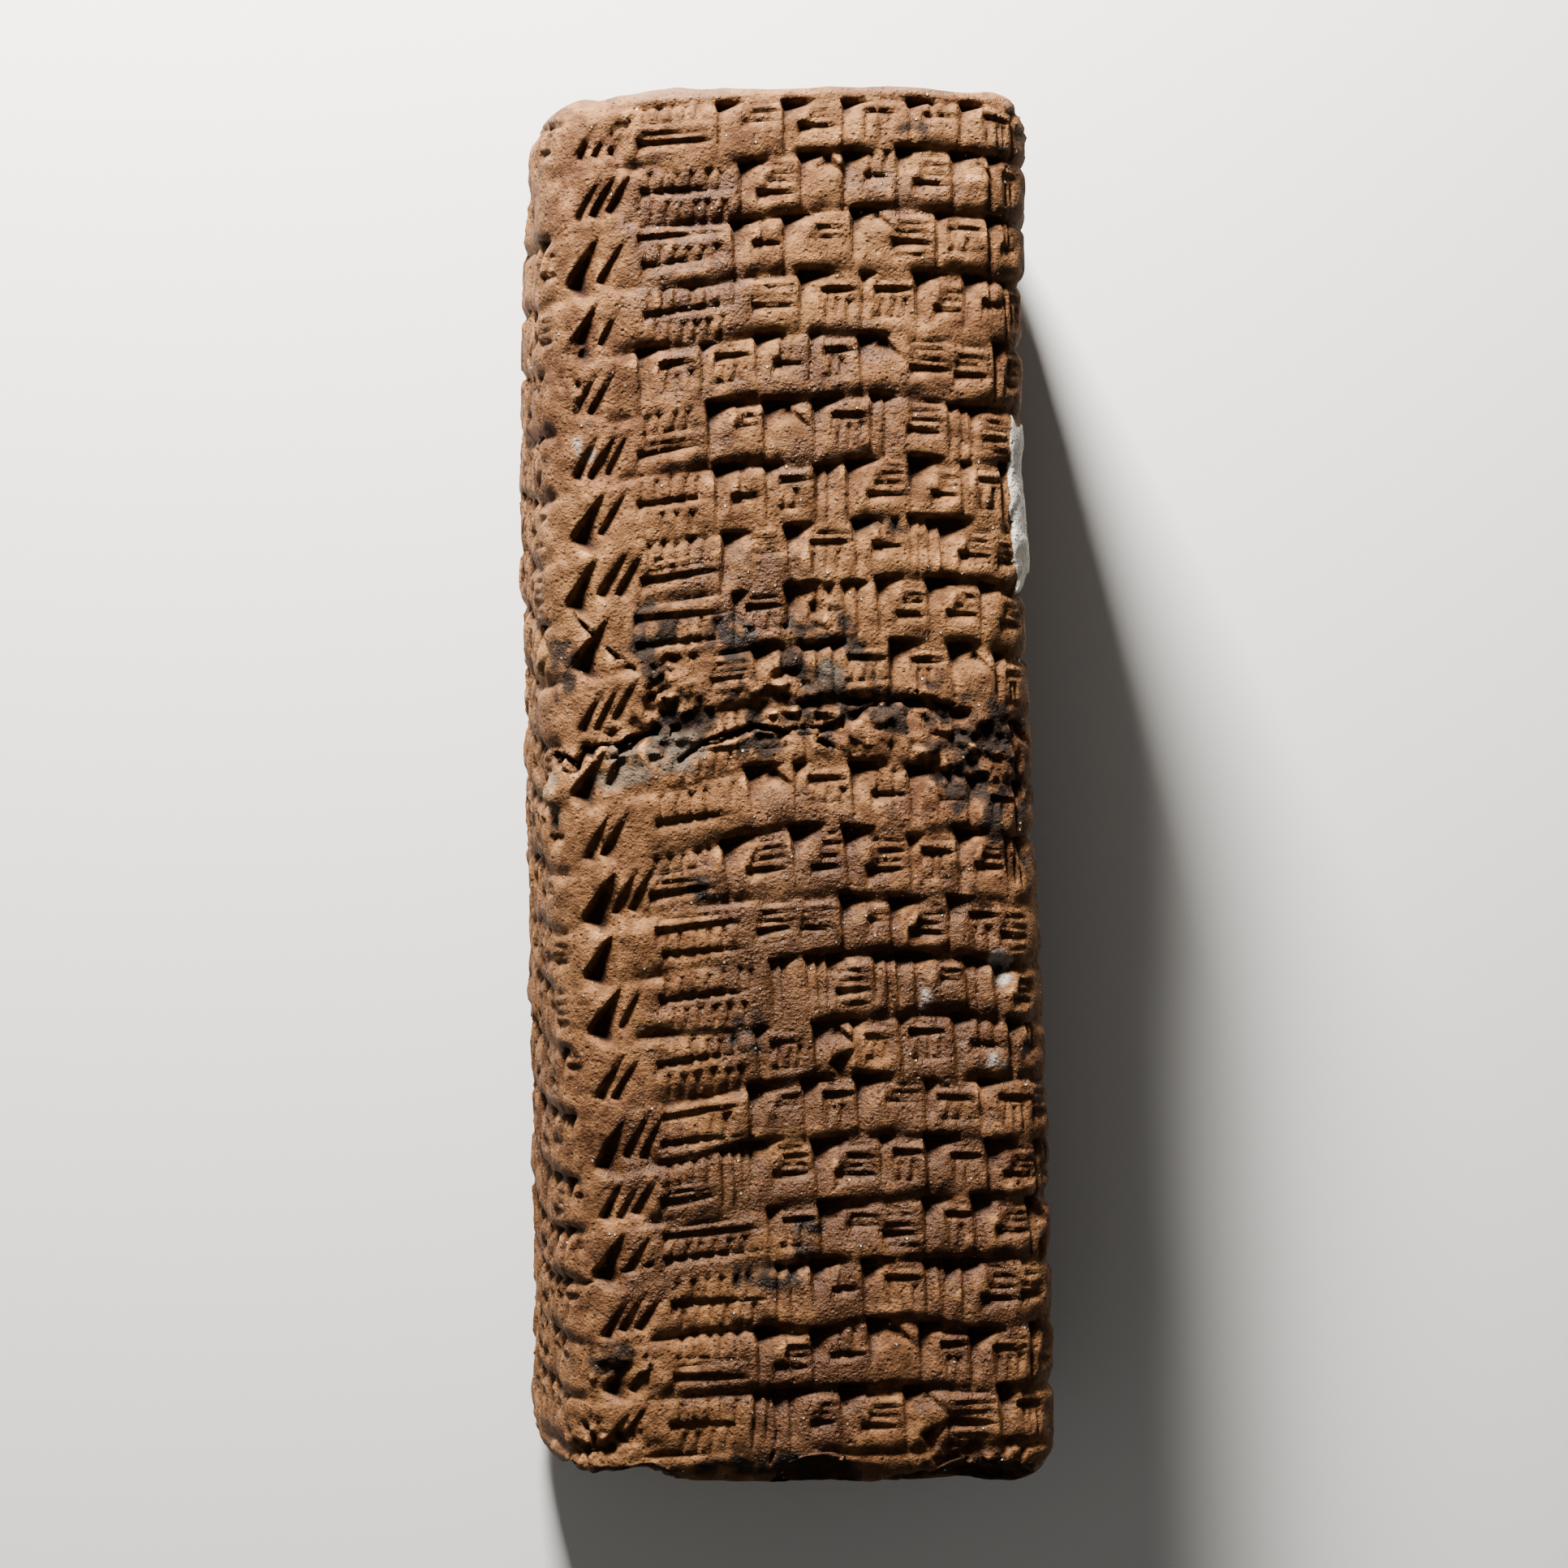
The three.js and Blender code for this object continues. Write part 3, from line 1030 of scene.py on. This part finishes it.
        # Sand grain, crumbs, open pores, and proud grains with a glint of mica.
        normal = None
        fine = add("TexNoise", Vector=place, Scale=1 / (0.36 * MM), Detail=3.0, Roughness=0.7)
        pores = add("TexVoronoi", Vector=place, Scale=1 / (1.3 * MM))
        pores = add("MapRange", SMOOTH, _0=pores, _1=0.06, _2=0.28)
        deeps = ((fine, 0.25), (crumbs, 0.28), (pores, 0.12), (near, 0.08), (pale_grain, 0.12))
        for height, deep in deeps:
            extra = {"Normal": normal} if normal else {}
            normal = add("Bump", Strength=1.0, Distance=deep * MM, Height=height, **extra)
        dull = add("MapRange", _0=polish, _1=0.0, _2=0.45, _3=self.roughness, _4=self.handled_roughness)
        dull = add("MapRange", SMOOTH, _0=pale_grain, _1=0.2, _2=0.9, _3=dull, _4=self.mica_roughness)
        shader = add("BsdfPrincipled", Base_Color=colour, Roughness=dull, Normal=normal, IOR=self.ior)
        shader.node.inputs["Specular IOR Level"].default_value = self.specular
        add("OutputMaterial", Surface=shader)
        return made


@dataclass
class ClayTablet:
    """The tablet: a dense block, pressed, worn, shaped and then thinned to a mesh for keeping.

    Worth pairs a height in millimetres with how readily the mesh is thinned above it. The crust is
    a lump on the left edge: its place and its reach.
    """

    block: Block = field(default_factory=Block)
    grain: float = 0.25
    side_grain: float = 0.5
    quick_grain: float = 0.6
    most_triangles: int = 194_000
    worth: tuple[tuple[float, float], ...] = ((-99.0, 1.0), (-24.0, 0.75), (20.0, 0.5))
    worth_factor: float = 1.6
    crust: tuple[float, float, float, float] = (-32.0, -2.0, 1.5, 2.2)
    crust_height: float = 1.4
    unwritten: tuple[float, float] = (83.8, 85.9)
    finish: FiredClay = field(default_factory=FiredClay)

    def square_block(self) -> bpy.types.Mesh:
        """Cuts a unit cube into a fine lattice.

        Returns:
            The mesh, one unit each way, centred on the origin.
        """
        across = self.grain
        through = self.side_grain
        spacing = {0: across, 2: through, 1: across}
        sizes = (self.block.width, self.block.length, self.block.thickness)
        bm = bmesh.new()
        bmesh.ops.create_cube(bm, size=1.0)
        for axis, step in spacing.items():
            edges = [e for e in bm.edges if abs(e.verts[0].co[axis] - e.verts[1].co[axis]) > 0.5]
            bmesh.ops.subdivide_edges(bm, edges=edges, cuts=round(sizes[axis] / step), use_grid_fill=True)
        mesh = bpy.data.meshes.new("clay_tablet_dense")
        bm.to_mesh(mesh)
        bm.free()
        return mesh

    def write_and_wear(self) -> tuple[Relief, dict[str, np.ndarray]]:
        """Writes on the walls and wears them.

        Returns:
            The relief, and the rasters of its marks by name.
        """
        relief = Relief(self.block)
        scribe = Scribe(self.block, relief)
        scribe.write()
        scribe.rule()
        wear = Wear(self.block)
        plaster = wear.plaster(relief)
        # Soft clay closes over each press, so ridges turn to pillows.
        relief.depth = relief.blurred(relief.depth, (0.07, 0.85), (0.4, 0.15), (1.0, 0.1))
        cracked = wear.break_up(relief)
        relief.depth = relief.depth * (1 - 0.85 * plaster) - 0.15 * plaster
        relief.depth -= self.crust_height * relief.spot(*self.crust)
        for seed, size, height in ((71, 1.5, 0.05), (72, 4.0, 0.10)):
            relief.depth += height * relief.mottle(seed, size)
        # The deepest presses and the cracks get painted shade mixed with burial dirt, and the crests a
        # painted highlight mixed with rubbed wear.
        soft = relief.blurred(relief.depth, (1.5, 1.0))
        pressed = (relief.depth - soft).clip(0, 1.5) / 1.1 + (relief.depth - 0.9).clip(0, 2) * 0.35
        marks = {
            "hollow": np.maximum(pressed, cracked),
            "ridge": (soft - relief.depth).clip(0, 1.2),
            **{kind: wear.patches(relief, kind) for kind in ("patina", "soot", "ash", "chalk")},
            "plaster": plaster,
        }
        return relief, marks

    def build(self) -> bpy.types.Object:
        """Makes the finished tablet.

        Returns:
            The tablet's object, dressed and in place.
        """
        relief, marks = self.write_and_wear()
        mesh = self.square_block()
        count = len(mesh.vertices)
        flat = np.empty(count * 3, dtype=np.float32)
        mesh.vertices.foreach_get("co", flat)
        square = flat.reshape(-1, 3).astype(float) * 2 * self.block.half
        u, v = self.block.around(square), square[:, 1]
        on_wall = (np.abs(square[:, [0, 2]]) > self.block.half[[0, 2]] - 1e-3).any(axis=1)
        kept = on_wall * (1 - ease(np.abs(v), *self.unwritten))
        sink = relief.read(relief.depth, u, v) * kept
        rounded, outward = self.block.round_edges(square)
        lumps = Lumps(11)
        plain = 1 - kept
        swell, bare = self.swell(lumps, rounded, outward, plain)
        whole = self.block.shape(rounded + outward * (swell - sink)[:, None])
        points = Wear(self.block).lose_corners(whole, lumps)
        chipped = ease(np.linalg.norm(points - whole, axis=1), 0.1, 0.9)
        points = self.set_down(points)
        mesh.vertices.foreach_set("co", (points * MM).astype(np.float32).ravel())
        for name, raster in marks.items():
            mark = relief.read(raster, u, v) * kept + bare.get(name, 0.0) * plain
            # Chips get painted shade and have lost every other mark.
            mark = np.maximum(mark, 0.9 * chipped) if name == "hollow" else mark * (1 - 0.8 * chipped)
            stored = mesh.attributes.new(name, "FLOAT", "POINT")
            stored.data.foreach_set("value", mark.astype(np.float32))
        return self.thin(mesh, square[:, 2])

    def swell(
        self, lumps: Lumps, rounded: np.ndarray, outward: np.ndarray, plain: np.ndarray
    ) -> tuple[np.ndarray, dict[str, np.ndarray]]:
        """Swells the clay by chance, and presses hollows into its two ends.

        Args:
            lumps: What makes it uneven.
            rounded: Places on the round-edged block.
            outward: The direction out of the clay at each.
            plain: 1 where nothing is written and 0 where the rows are.

        Returns:
            How far each place moves out, and the marks of the unwritten clay by name.
        """
        broad, small = lumps.at(rounded, 14.0), lumps.at(rounded + 90, 5.0)
        gritty = 0.1 * plain * lumps.at(rounded - 30, 1.8)
        end = ease(np.abs(outward[:, 1]), 0.75, 1.0)
        dents = end * (lumps.at(rounded + 200, 10.0) + 0.1).clip(0, 1)
        swell = 0.30 * broad + 0.16 * small + 0.04 * lumps.at(rounded - 70, 2.2)
        swell += end * (0.5 * broad + 0.25 * small - 0.6) - 1.5 * dents + gritty
        bare = {
            "ridge": 0.13 + 0.18 * small + 0.16 * broad,
            # Dents in the ends get painted shade mixed with dirt.
            "hollow": 0.9 * dents,
            "patina": (0.5 * broad).clip(0, 1),
        }
        return swell, bare

    def set_down(self, points: np.ndarray) -> np.ndarray:
        """Lays the clay on its back, centred where the CAD solid is.

        Args:
            points: The shaped clay, centred on its own middle.

        Returns:
            The places in the frame, in millimetres, with nothing below the ground.
        """
        low, high = (np.array(corner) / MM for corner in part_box(CAD_NODE))
        centre = (low + high) / 2
        plain, _ = self.block.round_edges(self.probe())
        plain = self.block.shape(plain)
        middle = (plain.min(axis=0) + plain.max(axis=0)) / 2
        shift = [centre[0] - middle[0], centre[1] - middle[1], self.block.half[2] + low[2]]
        return np.clip(points + np.array(shift), low, high)

    def probe(self) -> np.ndarray:
        """Places all over the square block's walls, to measure the plain shape by.

        Returns:
            The places.
        """
        hx, hy, hz = self.block.half
        across, up, through = (np.linspace(-h, h, n) for h, n in ((hx, 41), (hy, 81), (hz, 41)))
        x, y, z = np.meshgrid(across, up, through)
        places = np.column_stack((x.ravel(), y.ravel(), z.ravel()))
        return places[(np.abs(places) >= np.array([hx, hy, hz]) - 1e-6).any(axis=1)]

    def thin(self, dense: bpy.types.Mesh, height: np.ndarray) -> bpy.types.Object:
        """Thins the dense mesh where it is plain, least of all on the front, and dresses what is left.

        Args:
            dense: The dense mesh.
            height: How far each vertex is from the middle towards the front, in millimetres.

        Returns:
            The finished object.
        """
        rough = bpy.data.objects.new("dense", dense)
        bpy.context.scene.collection.objects.link(rough)
        group = rough.vertex_groups.new(name="worth")
        for start, share in self.worth:
            group.add(np.flatnonzero(height > start).tolist(), share, "REPLACE")
        thinner = rough.modifiers.new("thin", "DECIMATE")
        # Each square of the lattice is two triangles.
        thinner.ratio = min(1.0, self.most_triangles / (2 * len(dense.polygons)))
        thinner.vertex_group = group.name
        thinner.vertex_group_factor = self.worth_factor
        graph = bpy.context.evaluated_depsgraph_get()
        mesh = bpy.data.meshes.new_from_object(rough.evaluated_get(graph))
        bpy.data.objects.remove(rough)
        bpy.data.meshes.remove(dense)
        mesh.name = "tablet"
        bm = bmesh.new()
        bm.from_mesh(mesh)
        bmesh.ops.triangulate(bm, faces=bm.faces)
        bm.to_mesh(mesh)
        bm.free()
        flat = np.empty(len(mesh.vertices) * 3, dtype=np.float32)
        mesh.vertices.foreach_get("co", flat)
        low, high = (np.array(corner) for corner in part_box(CAD_NODE))
        inside = np.clip(flat.reshape(-1, 3), low, high)
        mesh.vertices.foreach_set("co", inside.astype(np.float32).ravel())
        mesh.polygons.foreach_set("use_smooth", [True] * len(mesh.polygons))
        mesh.materials.clear()
        mesh.materials.append(self.finish.build())
        tablet = bpy.data.objects.new("tablet", mesh)
        bpy.context.scene.collection.objects.link(tablet)
        return tablet


@dataclass
class Studio:
    """A pale table, a soft raking light from above the writing, and a camera that looks down."""

    light_aim: float = 50
    look: str = "AgX - Medium High Contrast"
    sky: str = "#d8dce0"
    board: str = "#d9d6d0"
    board_roughness: float = 0.9
    board_size: float = 2.5
    sensor: float = 36.0
    lens: float = 100.0
    view_width: float = 189.7
    swing: float = 6.0
    aim: tuple[float, float, float] = (-2.1, 0.0, 55.5)
    world_light: float = 0.13

    def set_up(self) -> None:
        """Builds the floor, the lights and the camera."""
        # More contrast than usual keeps the pressed strokes dark over a floor that isn't clipped.
        bpy.context.scene.view_settings.look = self.look
        self.floor()
        self.light("key", place=(-110.0, 400.0, 210.0), size=85.0, power=10.5)
        self.light("fill", place=(-150.0, -100.0, 700.0), size=500.0, power=0.45)
        world = bpy.data.worlds.new("studio")
        bpy.context.scene.world = world
        world.use_nodes = True
        sky = world.node_tree.nodes["Background"]
        sky.inputs["Color"].default_value = linear(self.sky)
        sky.inputs["Strength"].default_value = self.world_light
        self.camera()

    def floor(self) -> None:
        """Lays a pale matt floor."""
        bm = bmesh.new()
        bmesh.ops.create_grid(bm, x_segments=2, y_segments=2, size=self.board_size)
        mesh = bpy.data.meshes.new("floor")
        bm.to_mesh(mesh)
        bm.free()
        paint = bpy.data.materials.new("matt_board")
        paint.use_nodes = True
        shader = paint.node_tree.nodes["Principled BSDF"]
        shader.inputs["Base Color"].default_value = linear(self.board)
        shader.inputs["Roughness"].default_value = self.board_roughness
        mesh.materials.append(paint)
        floor = bpy.data.objects.new("floor", mesh)
        bpy.context.scene.collection.objects.link(floor)

    def light(self, name: str, place: tuple[float, float, float], size: float, power: float) -> None:
        """Hangs a square soft light that faces the tablet.

        Args:
            name: Its name.
            place: Where, in millimetres.
            size: Its side in millimetres.
            power: Its power in watts.
        """
        lamp = bpy.data.lights.new(name, "AREA")
        lamp.size = size * MM
        lamp.energy = power
        made = bpy.data.objects.new(name, lamp)
        made.location = Vector(place) * MM
        aim = Vector((0.0, 0.0, self.light_aim * MM)) - made.location
        made.rotation_euler = aim.to_track_quat("-Z", "Y").to_euler()
        bpy.context.scene.collection.objects.link(made)

    def camera(self) -> None:
        """Hangs the camera over the front face, swung a little to the left."""
        data = bpy.data.cameras.new("camera")
        data.lens = self.lens
        data.sensor_width = self.sensor
        data.clip_start = 0.01
        half_angle = math.atan(data.sensor_width / 2 / self.lens)
        distance = self.view_width / 2 / math.tan(half_angle) * MM
        turn = math.radians(self.swing)
        back = Vector((-math.sin(turn), 0.0, math.cos(turn)))
        right = Vector((0.0, 1.0, 0.0)).cross(back)
        made = bpy.data.objects.new("camera", data)
        axes = Matrix((right, Vector((0.0, 1.0, 0.0)), back)).transposed()
        made.matrix_world = Matrix.Translation(Vector(self.aim) * MM + back * distance) @ axes.to_4x4()
        bpy.context.scene.collection.objects.link(made)
        bpy.context.scene.camera = made


def main() -> None:
    """Builds the tablet and its studio, and notes the sizes."""
    logging.basicConfig(level=logging.INFO, format="%(message)s")
    tablet = ClayTablet().build()
    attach(tablet, BODY)
    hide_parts(CAD_NODE)
    log.info("tablet: %d triangles", len(tablet.data.polygons))
    Studio().set_up()
    log.info("studio: floor, lights and camera")


if __name__ == "__main__":
    main()
